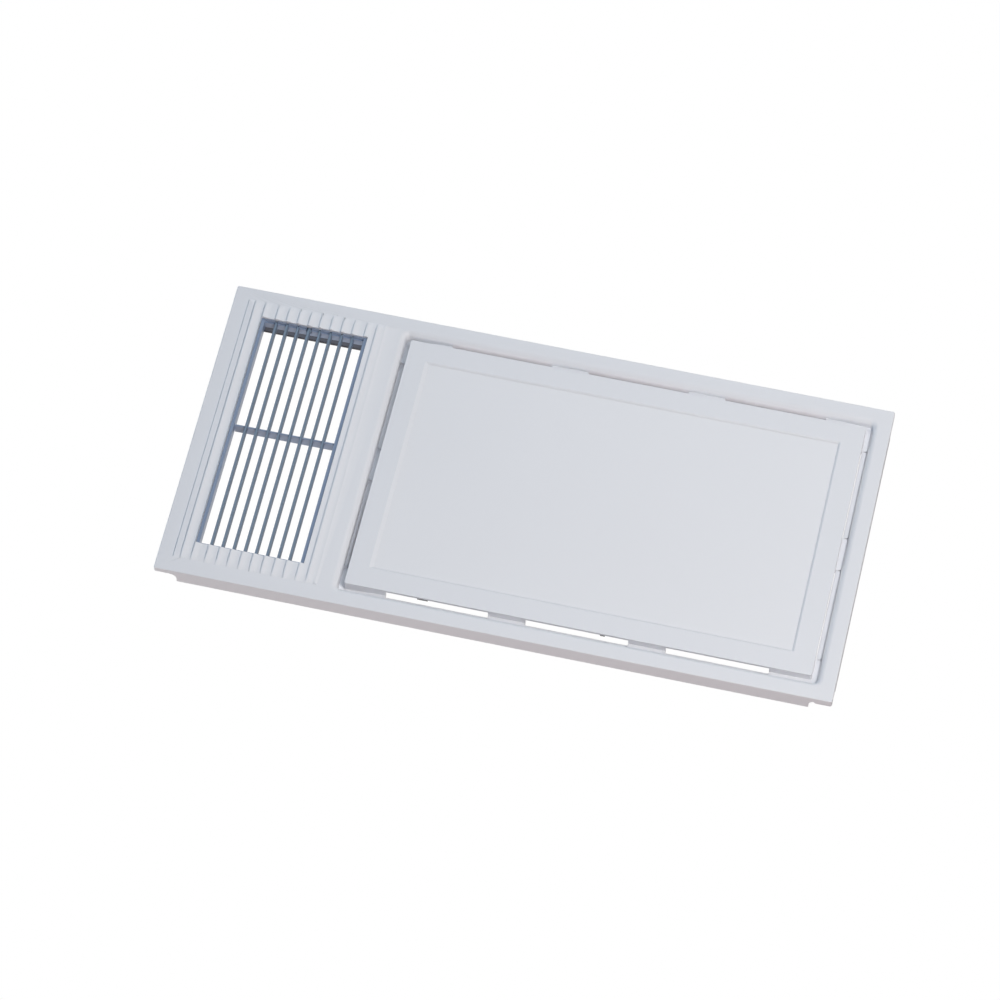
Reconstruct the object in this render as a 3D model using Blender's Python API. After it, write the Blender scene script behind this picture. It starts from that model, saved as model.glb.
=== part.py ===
"""Ceiling face unit of a bathroom heater: a 600 x 300 mm module with a swinging louvre and a flat light.

X runs along the long side, with the warm-air outlet at -X. Z points up into the ceiling, and the room face
of the rim lies at Z = 0. The origin is the middle of the module on that ceiling plane.
"""
import math

import bmesh
import bpy

MM = 0.001

# Values shared by all pieces
clearance = 0.3 * MM
overrun = 1 * MM
screw_radius = 1.5 * MM
screw_hole_radius = 1.8 * MM
screw_head_radius = 3 * MM
screw_head_height = 2 * MM
round_sides = 16
screw_sides = 8

# Face panel: plate, lip and skirts
panel_length = 600 * MM
panel_width = 300 * MM
panel_wall = 2.2 * MM
panel_edge_round = 0.8 * MM
lip_height = 5.5 * MM
skirt_height = 16.5 * MM
skirt_wall = 2 * MM
skirt_corner_gap = 20 * MM
skirt_root_round = 6 * MM
rim_border = 11 * MM
boss_radius = 3.5 * MM

# Face panel: channel round the light, its webs and intake windows
channel_width = 11 * MM
channel_round = 6 * MM
channel_corner = 9 * MM
least_corner = 1.5 * MM
channel_depth = 11 * MM
channel_wall = 2 * MM
web_depth = 5.4 * MM
intake_web = 33 * MM
long_side_margin = 37 * MM
short_side_margin = 20.5 * MM
intake_top = 4 * MM
intake_floor_gap = 0.3 * MM
long_side_intakes = 3
short_side_intakes = 2

# Face panel: light bezel inside the channel
bezel_border = 19.4 * MM
bezel_slope = 1.8 * MM
bezel_lip = 1 * MM

# Louvre frame and its place
outlet_side_margin = 29.7 * MM
outlet_free_margin = 32.5 * MM
outlet_bar = 27.7 * MM
outer_gap = 9.3 * MM
frame_side = 3 * MM
frame_end = 2 * MM
frame_height = 10.5 * MM
frame_lip = 0.8 * MM
swing_room = 3.4 * MM
rib_wall = 1.8 * MM
rib_share = -0.03
rib_back = 13.9 * MM
tab_length = 16 * MM
tab_reach = 9.5 * MM
tab_wall = 1.5 * MM
tab_height = 5.5 * MM
tab_end_margin = 24.25 * MM

# Finned field round the outlet
field_drive_margin = 16.8 * MM
field_free_margin = 18.1 * MM
field_reach = 16.5 * MM
field_rise = 1 * MM
field_edge = 0.8 * MM
field_slope = 2.2 * MM
field_root = 1 * MM
field_sink = 0.2 * MM
fin_height = 1.2 * MM
fin_steep_side = 1.4 * MM
fin_gentle_side = 6.2 * MM
fin_run_out = 1.2 * MM
# Share of the side and share of the height, from the steep foot over the crest to the gentle foot
fin_steep_shares = ((1, 0), (0.75, 0.15), (0.25, 0.83), (0, 0.97))
fin_gentle_shares = ((0.08, 1), (0.22, 0.9), (0.52, 0.42), (0.78, 0.1), (1, 0))

# Vanes, cranks and link
vane_count = 8
vane_pitch = 10 * MM
vane_wall = 2 * MM
vane_chord = 9 * MM
vane_round = 0.5 * MM
vane_front_wall = 0.8 * MM
vane_end_gap = 0.5 * MM
pivot_height = 5.3 * MM
journal_radius = 0.9 * MM
journal_play = 0.3 * MM
slot_neck = 45
driven_slot_neck = 20
driven_journal_radius = 2.2 * MM
crank_radius = 4.2 * MM
crank_wall = 1.5 * MM
crank_hub = 2.2 * MM
crank_tip = 1.3 * MM
crank_pin_radius = 0.9 * MM
crank_pin_length = 2.9 * MM
link_wall = 2 * MM
link_half_height = 1.4 * MM
link_end = 3 * MM

# Louvre motor
motor_radius = 10 * MM
motor_length = 15 * MM
motor_offset = 8 * MM
motor_gap = 1 * MM
motor_play = 3 * MM
motor_nose_radius = 2.5 * MM
motor_nose_length = 0.8 * MM
motor_ear_reach = 13.5 * MM
motor_ear_lift = 1 * MM
motor_ear_radius = 3 * MM
motor_ear_wall = 1 * MM
motor_socket_width = 12 * MM
motor_socket_height = 3 * MM
motor_socket_length = 9 * MM
shaft_radius = 1.2 * MM
shaft_engagement = 4 * MM
shaft_bore_depth = 2.8 * MM
motor_screw_radius = 1 * MM
motor_screw_head = 1.9 * MM
motor_screw_head_height = 1.3 * MM

# Outlet collar and gasket
collar_wall = 1.5 * MM
collar_top = 21 * MM
collar_lip = 5 * MM
collar_link_room = 11.1 * MM
collar_link_room_width = 92 * MM
collar_boss_radius = 2.5 * MM
gasket_height = 2.5 * MM
gasket_width = 5 * MM

# Flat light behind the bezel
light_overlap = 5 * MM
diffuser_wall = 2 * MM
guide_wall = 3 * MM
guide_margin = 4.5 * MM
sheet_wall = 0.5 * MM
pan_wall = 1 * MM
pan_play = 0.5 * MM
pan_tab_width = 9 * MM
light_boss_inset = 4.5 * MM
light_corner_inset = 23 * MM
strip_wall = 1 * MM
strip_height = 2.6 * MM
strip_end_gap = 6 * MM
led_count = 36
led_width = 2.8 * MM
led_reach = 1.4 * MM

# LED driver on the light pan
driver_length = 140 * MM
driver_width = 44 * MM
driver_height = 13.5 * MM
driver_wall = 1.6 * MM
driver_corner = 3 * MM
driver_foot_reach = 10 * MM
driver_foot_width = 14 * MM
driver_cable_hole = 6 * MM
board_wall = 1.6 * MM
board_margin = 2 * MM
board_lift = 3 * MM
capacitor_radius = 4.5 * MM
capacitor_height = 4 * MM
capacitor_x = -48 * MM
capacitor_pitch = 11 * MM
coil_length = 20 * MM
coil_width = 17 * MM
coil_height = 5 * MM
coil_x = 2 * MM
chip_length = 12 * MM
chip_width = 8 * MM
chip_height = 2.4 * MM
chip_x = 40 * MM

# Terminal block and lead clip at the front edge of the light pan
terminal_share = -0.338
terminal_width = 9.4 * MM
terminal_depth = 12 * MM
terminal_inset = 11 * MM
terminal_top = 25 * MM
terminal_round = 1.2 * MM
terminal_hole_radius = 1.4 * MM
terminal_hole_pitch = 4.4 * MM
terminal_hole_depth = 8 * MM
clip_share = 0.0504
clip_width = 4.4 * MM
clip_wall = 1.6 * MM
clip_mouth = 3 * MM

# Places worked out from the sizes above
driven_vane = vane_count // 2
frame_width = (vane_count - 1) * vane_pitch + vane_wall + 2 * (outer_gap + frame_side)
outlet_drive_margin = (skirt_wall + motor_play + motor_socket_height + motor_length + motor_gap
                       + crank_pin_length + crank_wall + 2 * clearance)
frame_length = panel_width - outlet_drive_margin - outlet_free_margin
outlet_x = -panel_length / 2 + outlet_side_margin + frame_width / 2
outlet_y = (outlet_drive_margin - outlet_free_margin) / 2
light_length = (panel_length - outlet_side_margin - frame_width - outlet_bar
                - 2 * channel_width - rim_border)
light_width = panel_width - 2 * (rim_border + channel_width)
light_x = panel_length / 2 - rim_border - channel_width - light_length / 2
long_intake = (light_length - 2 * long_side_margin + intake_web) / long_side_intakes - intake_web
short_intake = (light_width - 2 * short_side_margin + intake_web) / short_side_intakes - intake_web
terminal_x = light_x + terminal_share * light_length
terminal_front = light_width / 2 - terminal_inset
clip_x = light_x + clip_share * light_length
channel_box = (
    light_x - light_length / 2 - channel_width,
    light_x + light_length / 2 + channel_width,
    -light_width / 2 - channel_width,
    light_width / 2 + channel_width,
)
opening_half_length = light_length / 2 - bezel_border
opening_half_width = light_width / 2 - bezel_border
frame_base = clearance
frame_top = frame_base + frame_height
drive_end = outlet_y - frame_length / 2
free_end = outlet_y + frame_length / 2
rib_y = outlet_y + rib_share * frame_length
tab_pitch = frame_length / 2 - tab_end_margin
vane_x = [outlet_x + (k - (vane_count - 1) / 2) * vane_pitch for k in range(vane_count)]
crank_face = drive_end - 2 * clearance
crank_back = crank_face - crank_wall
link_face = crank_back - clearance
link_back = link_face - link_wall
motor_face = crank_back - crank_pin_length - motor_gap
pan_top = bezel_lip + diffuser_wall + guide_wall + sheet_wall + pan_wall + 4 * clearance
pan_half_length = opening_half_length + light_overlap + pan_play + pan_wall
pan_half_width = opening_half_width + light_overlap + pan_play + pan_wall
driver_base = pan_top + clearance


def arc(centre_u, centre_v, radius, start, end, steps):
    """Points on an arc in degrees, both ends included."""
    points = []
    for k in range(steps + 1):
        angle = math.radians(start + (end - start) * k / steps)
        points.append((centre_u + radius * math.cos(angle), centre_v + radius * math.sin(angle)))
    return points


def circle(centre_u, centre_v, radius, sides=round_sides):
    """Points of a closed circle, with flats on the four sides."""
    return arc(centre_u, centre_v, radius, 180 / sides, 360 - 180 / sides, sides - 1)


def rounded_rectangle(low_u, high_u, low_v, high_v, radius, steps=4):
    """Closed outline with the same number of points at each corner."""
    corners = (
        (high_u - radius, high_v - radius, 0),
        (low_u + radius, high_v - radius, 90),
        (low_u + radius, low_v + radius, 180),
        (high_u - radius, low_v + radius, 270),
    )
    points = []
    for centre_u, centre_v, start in corners:
        points += arc(centre_u, centre_v, radius, start, start + 90, steps)
    return points


def rectangle(low_u, high_u, low_v, high_v):
    return [(low_u, low_v), (high_u, low_v), (high_u, high_v), (low_u, high_v)]


def place(point, along, axis):
    """Puts an outline's point into space, at a station along X, Y or Z."""
    u, v = point
    return {"X": (along, u, v), "Y": (u, along, v), "Z": (u, v, along)}[axis]


def loft(stations, closed=False):
    """Skin through loops of equal length, capped at both ends unless it closes on itself."""
    verts = [point for loop in stations for point in loop]
    count = len(stations[0])
    faces = []
    pairs = len(stations) if closed else len(stations) - 1
    for row in range(pairs):
        here = row * count
        there = (row + 1) % len(stations) * count
        for k in range(count):
            following = (k + 1) % count
            faces.append((here + k, here + following, there + following, there + k))
    if not closed:
        faces.append(tuple(range(count)))
        faces.append(tuple(range((len(stations) - 1) * count, len(stations) * count)))
    return verts, faces


def prism(outline, low, high, axis="Z"):
    return loft([[place(p, low, axis) for p in outline], [place(p, high, axis) for p in outline]])


def block(x, y, z):
    """Plain box from three pairs of limits."""
    return prism(rectangle(*x, *y), *z)


def channel_loop(inset, z):
    """Loop round the light, that far inside the channel's outer edge."""
    low_x, high_x, low_y, high_y = channel_box
    corner = max(channel_corner - inset, least_corner)
    outline = rounded_rectangle(low_x + inset, high_x - inset, low_y + inset, high_y - inset, corner)
    return [(x, y, z) for x, y in outline]


def channel_ring(section):
    """Ring round the light from a closed section of inset and height."""
    return loft([channel_loop(inset, z) for inset, z in section], closed=True)


def new_object(name, solids):
    """One object from a list of closed solids that don't touch."""
    mesh = bpy.data.meshes.new(name)
    bm = bmesh.new()
    for verts, faces in solids:
        made = [bm.verts.new(v) for v in verts]
        for face in faces:
            bm.faces.new([made[k] for k in face])
    bmesh.ops.recalc_face_normals(bm, faces=bm.faces)
    bm.to_mesh(mesh)
    bm.free()
    thing = bpy.data.objects.new(name, mesh)
    bpy.context.scene.collection.objects.link(thing)
    return thing


def combine(thing, operation, solids):
    """Joins solids to an object, or cuts them out of it, and keeps the plain result."""
    tool = new_object(thing.name + "_tool", solids)
    modifier = thing.modifiers.new(operation.lower(), "BOOLEAN")
    modifier.operation = operation
    modifier.solver = "EXACT"
    modifier.object = tool
    graph = bpy.context.evaluated_depsgraph_get()
    result = bpy.data.meshes.new_from_object(thing.evaluated_get(graph))
    thing.modifiers.clear()
    thing.data = result
    bpy.data.objects.remove(tool)


def join(thing, *solids):
    for solid in solids:
        combine(thing, "UNION", [solid])


def cut(thing, *solids):
    for solid in solids:
        combine(thing, "DIFFERENCE", [solid])


def material(name, colour, roughness, metallic=0.0, transmission=0.0):
    made = bpy.data.materials.new(name)
    made.use_nodes = True
    shader = made.node_tree.nodes["Principled BSDF"]
    shader.inputs["Base Color"].default_value = (*colour, 1)
    shader.inputs["Roughness"].default_value = roughness
    shader.inputs["Metallic"].default_value = metallic
    shader.inputs["Transmission Weight"].default_value = transmission
    made.diffuse_color = (*colour, 1)
    return made


def finish(thing, surface, parent, smooth_angle=35):
    """Gives a piece its material and shading, and hangs it on the unit's empty."""
    thing.data.materials.clear()
    thing.data.materials.append(surface)
    thing.data.shade_smooth()
    thing.data.set_sharp_from_angle(angle=math.radians(smooth_angle))
    thing.parent = parent
    return thing


def clear_scene():
    for thing in list(bpy.data.objects):
        bpy.data.objects.remove(thing, do_unlink=True)


# Face panel

def panel_shell():
    """Plate with a turned-up wall at skirt height all round."""
    half_x, half_y = panel_length / 2, panel_width / 2
    round_depth = panel_edge_round * (1 - math.sqrt(0.5))
    steps = (
        (panel_edge_round, 0),
        (round_depth, round_depth),
        (0, panel_edge_round),
        (0, skirt_height),
        (skirt_wall, skirt_height),
        (skirt_wall, panel_wall),
    )
    stations = []
    for inset, z in steps:
        outline = rounded_rectangle(
            -half_x + inset, half_x - inset, -half_y + inset, half_y - inset, least_corner, 2)
        stations.append([(x, y, z) for x, y in outline])
    return loft(stations)


def notch_outline(edge, sign):
    """Corner notch above the lip, seen from the side, with a round root beside the skirt."""
    inner = edge - skirt_corner_gap
    outer = edge + overrun
    top = skirt_height + overrun
    points = [(outer, top), (inner, top)]
    points += arc(inner + skirt_root_round, lip_height + skirt_root_round, skirt_root_round, 180, 270, 4)
    points += [(outer, lip_height)]
    return [(sign * u, v) for u, v in points]


def cut_notches(panel):
    half_x, half_y = panel_length / 2, panel_width / 2
    for side in (-1, 1):
        across = sorted((side * (half_y - skirt_wall - overrun), side * (half_y + overrun)))
        along = sorted((side * (half_x - skirt_wall - overrun), side * (half_x + overrun)))
        for sign in (-1, 1):
            cut(panel, prism(notch_outline(half_x, sign), *across, "Y"))
            cut(panel, prism(notch_outline(half_y, sign), *along, "X"))


def fin_crests():
    """Each fin runs on from the left edge of a vane or frame side, and one more stands at each end."""
    crests = [x - vane_wall / 2 for x in vane_x]
    left_side = outlet_x - frame_width / 2
    right_side = outlet_x + frame_width / 2 - frame_side
    crests = [left_side - outer_gap, left_side] + crests + [right_side, right_side + outer_gap]
    return crests


def fin_field():
    """Raised field of fins, sinking into the plate at both ends."""
    low = outlet_x - frame_width / 2 - field_reach
    high = outlet_x + frame_width / 2 + field_reach
    profile = [(low, -field_sink, 0), (low + field_edge, 0, 0)]
    for crest in fin_crests():
        profile += [(crest - fin_steep_side * side, 0, height) for side, height in fin_steep_shares]
        profile += [(crest + fin_gentle_side * side, 0, height) for side, height in fin_gentle_shares]
    profile += [(high - field_slope, 0, 0), (high, -field_sink, 0)]
    ends = drive_end - field_drive_margin, free_end + field_free_margin
    stations = []
    for y, full in ((ends[0], 0), (ends[0] + fin_run_out, 1), (ends[1] - fin_run_out, 1), (ends[1], 0)):
        loop = []
        for x, sunk, height in profile:
            raised = -(field_rise + fin_height * height) if sunk == 0 else field_sink
            loop.append((x, y, raised if full else field_sink))
        loop += [(high, y, field_root), (low, y, field_root)]
        stations.append(loop)
    return loft(stations)


def channel_body():
    """Walls and floor of the channel, seen from behind the panel."""
    outer = channel_round - channel_wall
    inner = channel_width + channel_wall
    floor = channel_depth + channel_wall
    knee = channel_round + clearance
    return channel_ring([
        (-channel_wall, panel_wall / 2),
        (inner, panel_wall / 2),
        (inner, floor),
        (outer, floor),
        (outer, knee),
        (outer / 2, (panel_wall + knee) / 2),
        (-channel_wall, panel_wall * 3 / 4),
    ])


def channel_groove():
    """Space of the channel: a round shoulder down from the rim, then a straight slot."""
    shoulder = [(u, channel_round - v) for v, u in arc(0, 0, channel_round, 0, 90, 5)]
    section = [(0, -overrun)] + shoulder
    section += [(channel_round, channel_depth), (channel_width, channel_depth), (channel_width, -overrun)]
    return channel_ring(section)


def intake_centres():
    """Middle of each intake window, with its direction along the side and the side's outward sign."""
    centres = []
    for k in range(long_side_intakes):
        x = light_x + (k - (long_side_intakes - 1) / 2) * (long_intake + intake_web)
        centres += [(x, "X", -1), (x, "X", 1)]
    for k in range(short_side_intakes):
        y = (k - (short_side_intakes - 1) / 2) * (short_intake + intake_web)
        centres += [(y, "Y", -1), (y, "Y", 1)]
    return centres


def intake_block(centre, direction, sign, outer_inset, inner_inset, z):
    """Box at one window, between two insets from the channel's outer edge."""
    length = long_intake if direction == "X" else short_intake
    span = (centre - length / 2, centre + length / 2)
    if direction == "X":
        edge = light_width / 2 + channel_width
        across = sorted((sign * (edge - outer_inset), sign * (edge - inner_inset)))
        return block(span, across, z)
    edge = light_length / 2 + channel_width
    across = sorted((light_x + sign * (edge - outer_inset), light_x + sign * (edge - inner_inset)))
    return block(across, span, z)


def channel_webs():
    """Raised floor between the windows and round the corners."""
    overlap = channel_wall / 2
    low = channel_round - overlap
    high = channel_width + overlap
    floor = channel_depth + overlap
    webs = new_object("webs", [channel_ring([
        (low, web_depth), (high, web_depth), (high, floor), (low, floor)])])
    for centre, direction, sign in intake_centres():
        cut(webs, intake_block(
            centre, direction, sign, low - overrun, high + overrun, (web_depth - overrun, floor + overrun)))
    return webs


def light_boss_places():
    """Screws of the light pan, all behind webs of the channel."""
    half_x = light_length / 2
    edge_y = light_width / 2 - channel_wall - light_boss_inset
    places = []
    middle = (long_intake + intake_web) / 2
    for x in (-half_x + light_corner_inset, -middle, middle, half_x - light_corner_inset):
        places += [(light_x + x, -edge_y), (light_x + x, edge_y)]
    edge_x = half_x - channel_wall - light_boss_inset
    places += [(light_x - edge_x, 0), (light_x + edge_x, 0)]
    return places


def light_loop(z, outset):
    """Rectangle of the light opening at one height, moved outwards or inwards."""
    half_x, half_y = opening_half_length + outset, opening_half_width + outset
    return [(x, y, z) for x, y in rectangle(light_x - half_x, light_x + half_x, -half_y, half_y)]


def louvre_screw_places():
    reach = frame_width / 2 + tab_reach / 2 + collar_wall
    return [(outlet_x + side * reach, outlet_y + step * tab_pitch) for side in (-1, 1) for step in (-1, 0, 1)]


def face_panel(surface, parent):
    panel = new_object("face_panel", [panel_shell()])
    cut_notches(panel)
    join(panel, fin_field(), channel_body())
    cut(panel, channel_groove())
    webs = channel_webs()
    modifier = panel.modifiers.new("webs", "BOOLEAN")
    modifier.operation = "UNION"
    modifier.solver = "EXACT"
    modifier.object = webs
    graph = bpy.context.evaluated_depsgraph_get()
    result = bpy.data.meshes.new_from_object(panel.evaluated_get(graph))
    panel.modifiers.clear()
    panel.data = result
    bpy.data.objects.remove(webs)
    window = (intake_top, channel_depth + channel_wall + overrun)
    combine(panel, "DIFFERENCE", [
        intake_block(centre, direction, sign, channel_width - intake_floor_gap,
                     channel_width + channel_wall + overrun, window)
        for centre, direction, sign in intake_centres()])
    light_hole = loft([light_loop(-overrun, 0), light_loop(0, 0), light_loop(bezel_lip, -bezel_slope),
                       light_loop(panel_wall + overrun, -bezel_slope)])
    light_seat = loft([light_loop(bezel_lip, light_overlap + clearance),
                       light_loop(panel_wall + overrun, light_overlap + clearance)])
    outlet_half_x = frame_width / 2 + clearance
    outlet_half_y = frame_length / 2 + clearance
    deepest = field_rise + fin_height + overrun
    outlet_hole = block(
        (outlet_x - outlet_half_x, outlet_x + outlet_half_x),
        (outlet_y - outlet_half_y, outlet_y + outlet_half_y), (-deepest, panel_wall + overrun))
    cut(panel, light_hole, light_seat, outlet_hole)
    root = panel_wall / 2
    louvre_boss_top = tab_height - clearance
    light_boss_top = pan_top - pan_wall - clearance
    bosses = [prism(circle(x, y, boss_radius), root, louvre_boss_top) for x, y in louvre_screw_places()]
    bosses += [prism(circle(x, y, boss_radius), root, light_boss_top) for x, y in light_boss_places()]
    combine(panel, "UNION", bosses)
    bores = [prism(circle(x, y, screw_hole_radius), panel_wall, louvre_boss_top + overrun)
             for x, y in louvre_screw_places()]
    bores += [prism(circle(x, y, screw_hole_radius), panel_wall, light_boss_top + overrun)
              for x, y in light_boss_places()]
    combine(panel, "DIFFERENCE", bores)
    return finish(panel, surface, parent)


# Louvre frame, vanes and link

def louvre_frame(surface, parent):
    """Open frame with side tabs for its screws and slots that the vanes snap into. The cross rib and the inner
    part of both ends stand back, so that the fronts of the vanes swing in front of them."""
    low_x, high_x = outlet_x - frame_width / 2, outlet_x + frame_width / 2
    outside = block((low_x, high_x), (drive_end, free_end), (frame_base, frame_top))
    frame = new_object("louvre_frame", [outside])
    inner_x = (low_x + frame_side, high_x - frame_side)
    deep = (frame_base - overrun, frame_top + overrun)
    combine(frame, "DIFFERENCE", [
        block(inner_x, (drive_end + frame_end, rib_y - rib_wall / 2), deep),
        block(inner_x, (rib_y + rib_wall / 2, free_end - frame_end), deep)])
    join(frame, block(inner_x, (rib_y - rib_wall / 2, rib_y + rib_wall / 2), (pivot_height, rib_back)))
    cut(frame, block(inner_x, (drive_end + frame_lip, free_end - frame_lip), (frame_base - overrun, swing_room)))
    tabs = []
    for x, y in louvre_screw_places():
        side = math.copysign(1, x - outlet_x)
        edge = outlet_x + side * frame_width / 2
        across = sorted((edge - side * frame_side / 2, edge + side * (tab_reach + collar_wall)))
        along = (y - tab_length / 2, y + tab_length / 2)
        tabs.append(block(across, along, (tab_height, tab_height + tab_wall)))
    combine(frame, "UNION", tabs)
    deep = (tab_height - overrun, tab_height + tab_wall + overrun)
    combine(frame, "DIFFERENCE", [
        prism(circle(x, y, screw_hole_radius), *deep) for x, y in louvre_screw_places()])
    combine(frame, "DIFFERENCE", [
        prism(slot_outline(x, journal_radius + journal_play, slot_neck), drive_end - overrun,
              free_end - frame_lip, "Y") for x in vane_x])
    cut(frame, prism(slot_outline(vane_x[driven_vane - 1], driven_journal_radius + journal_play, driven_slot_neck),
                     drive_end - overrun, drive_end + frame_end + overrun, "Y"))
    return finish(frame, surface, parent)


def slot_outline(x, radius, neck):
    """Round bearing with a narrower mouth, open at the front of the frame behind the vane."""
    bearing = arc(x, pivot_height, radius, -neck, 180 + neck, 10)
    front = frame_base - overrun
    return bearing + [(bearing[-1][0], front), (bearing[0][0], front)]


def blade_outline():
    half_wall, half_chord = vane_wall / 2, vane_chord / 2
    return rounded_rectangle(-half_wall, half_wall, -half_chord, half_chord, vane_round, 2)


def lever_outline():
    """Crank from its hub on the pivot to its tip round the crank pin."""
    lean = math.degrees(math.asin((crank_hub - crank_tip) / crank_radius))
    tip = arc(0, crank_radius, crank_tip, lean, 180 - lean, 5)
    return tip + arc(0, 0, crank_hub, 180 - lean, 360 + lean, 7)


def vane_mesh(driven):
    """Blade notched behind its front for the rib and both ends, with its journals and a crank."""
    rib_gap = rib_wall / 2 + vane_end_gap
    low = drive_end + frame_end + vane_end_gap
    high = free_end - frame_end - vane_end_gap
    tips = (drive_end + frame_lip + clearance, free_end - frame_lip - clearance)
    vane = new_object("vane_shape", [prism(blade_outline(), *tips, "Y")])
    across = (-vane_wall / 2 - overrun, vane_wall / 2 + overrun)
    behind = (vane_front_wall - vane_chord / 2, vane_chord / 2 + overrun)
    for span in ((tips[0] - overrun, low), (rib_y - rib_gap, rib_y + rib_gap), (high, tips[1] + overrun)):
        cut(vane, block(across, span, behind))
    journal = circle(0, 0, journal_radius, 12)
    for span in ((crank_back + crank_wall / 2, low + overrun),
                 (rib_y - rib_gap - overrun, rib_y + rib_gap + overrun), (high - overrun, tips[1])):
        join(vane, prism(journal, *span, "Y"))
    join(vane, prism(lever_outline(), crank_back, crank_face, "Y"))
    join(vane, prism(circle(0, crank_radius, crank_pin_radius, 12),
                     crank_back - crank_pin_length, crank_back + crank_wall / 2, "Y"))
    if driven:
        join(vane, prism(circle(0, 0, driven_journal_radius), crank_back, low + vane_end_gap, "Y"))
        cut(vane, prism(circle(0, 0, shaft_radius + clearance), crank_back - overrun,
                        crank_back + shaft_engagement, "Y"))
    mesh = vane.data
    bpy.data.objects.remove(vane)
    return mesh


def vanes(surface, parent):
    plain, driven = vane_mesh(False), vane_mesh(True)
    for k, x in enumerate(vane_x, start=1):
        vane = bpy.data.objects.new(f"vane_{k}", driven if k == driven_vane else plain)
        bpy.context.scene.collection.objects.link(vane)
        vane.location = (x, 0, pivot_height)
        finish(vane, surface, parent)


def vane_link(surface, parent):
    """Bar with one hole for each crank pin, its origin on the driven vane's pin."""
    origin_x = vane_x[driven_vane - 1]
    low, high = vane_x[0] - origin_x - link_end, vane_x[-1] - origin_x + link_end
    outline = rounded_rectangle(low, high, -link_half_height, link_half_height, link_half_height, 4)
    link = new_object("vane_link", [prism(outline, link_back, link_face, "Y")])
    combine(link, "DIFFERENCE", [
        prism(circle(x - origin_x, 0, crank_pin_radius + clearance, 12),
              link_back - overrun, link_face + overrun, "Y") for x in vane_x])
    link.location = (origin_x, 0, pivot_height + crank_radius)
    return finish(link, surface, parent)


# Louvre motor

def louvre_motor(surface, parent):
    """Round can with an offset shaft nose, two ears and the lead socket on top."""
    x = vane_x[driven_vane - 1]
    z = pivot_height + motor_offset
    ear_z = z + motor_ear_lift
    motor = new_object("louvre_motor", [prism(circle(x, z, motor_radius, 24),
                                              motor_face - motor_length, motor_face, "Y")])
    ear = arc(x + motor_ear_reach, ear_z, motor_ear_radius, -90, 90, 6)
    ear += arc(x - motor_ear_reach, ear_z, motor_ear_radius, 90, 270, 6)
    join(motor, prism(ear, motor_face - motor_ear_wall, motor_face + clearance, "Y"))
    join(motor, prism(circle(x, pivot_height, motor_nose_radius), motor_face - overrun,
                      motor_face + motor_nose_length, "Y"))
    socket = (x - motor_socket_width / 2, x + motor_socket_width / 2)
    back = motor_face - motor_length
    reach = math.sqrt(motor_radius ** 2 - (motor_socket_width / 2) ** 2)
    join(motor, block(socket, (back - motor_socket_height, back + overrun),
                      (z - reach, z - reach + motor_socket_length)))
    cut(motor, prism(circle(x, pivot_height, shaft_radius + clearance),
                     motor_face - shaft_bore_depth, motor_face + motor_nose_length + overrun, "Y"))
    for side in (-1, 1):
        cut(motor, prism(circle(x + side * motor_ear_reach, ear_z, motor_screw_radius + clearance, 12),
                         motor_face - motor_ear_wall - overrun, motor_face + overrun, "Y"))
    return finish(motor, surface, parent)


def motor_shaft(surface, parent):
    """Shaft with its origin on the driven vane's pivot."""
    inner = crank_back + shaft_engagement - clearance
    outer = motor_face - shaft_bore_depth + clearance
    shaft = new_object("motor_shaft", [prism(circle(0, 0, shaft_radius), outer, inner, "Y")])
    shaft.location = (vane_x[driven_vane - 1], 0, pivot_height)
    return finish(shaft, surface, parent)


def screw_mesh(length, axis, shank, head, head_height):
    """Shank and pan head as one turned solid, its origin under the head."""
    way = math.copysign(1, length)
    stations = ((-length, shank), (0, shank), (0, head),
                (way * head_height / 2, head), (way * head_height, head / 2))
    loops = [[place(p, along, axis) for p in circle(0, 0, radius, screw_sides)] for along, radius in stations]
    shape = new_object("screw_shape", [loft(loops)])
    mesh = shape.data
    bpy.data.objects.remove(shape)
    return mesh


def screws(name, places, mesh, surface, parent):
    """One screw at each place, all sharing one mesh."""
    for k, spot in enumerate(places, start=1):
        screw = bpy.data.objects.new(f"{name}_{k}", mesh)
        bpy.context.scene.collection.objects.link(screw)
        screw.location = spot
        finish(screw, surface, parent)


def motor_screws(surface, parent):
    x = vane_x[driven_vane - 1]
    z = pivot_height + motor_offset + motor_ear_lift
    under_head = motor_face - motor_ear_wall - clearance
    tip = drive_end - clearance - collar_wall - clearance
    mesh = screw_mesh(under_head - tip, "Y", motor_screw_radius, motor_screw_head, motor_screw_head_height)
    places = [(x + side * motor_ear_reach, under_head, z) for side in (-1, 1)]
    screws("motor_screw", places, mesh, surface, parent)


# Outlet collar and gasket

def collar_outline(wall):
    """Rectangle that far outside the collar's inner faces."""
    half_x = frame_width / 2 + clearance + wall
    half_y = frame_length / 2 + clearance + wall
    return rectangle(outlet_x - half_x, outlet_x + half_x, outlet_y - half_y, outlet_y + half_y)


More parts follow.
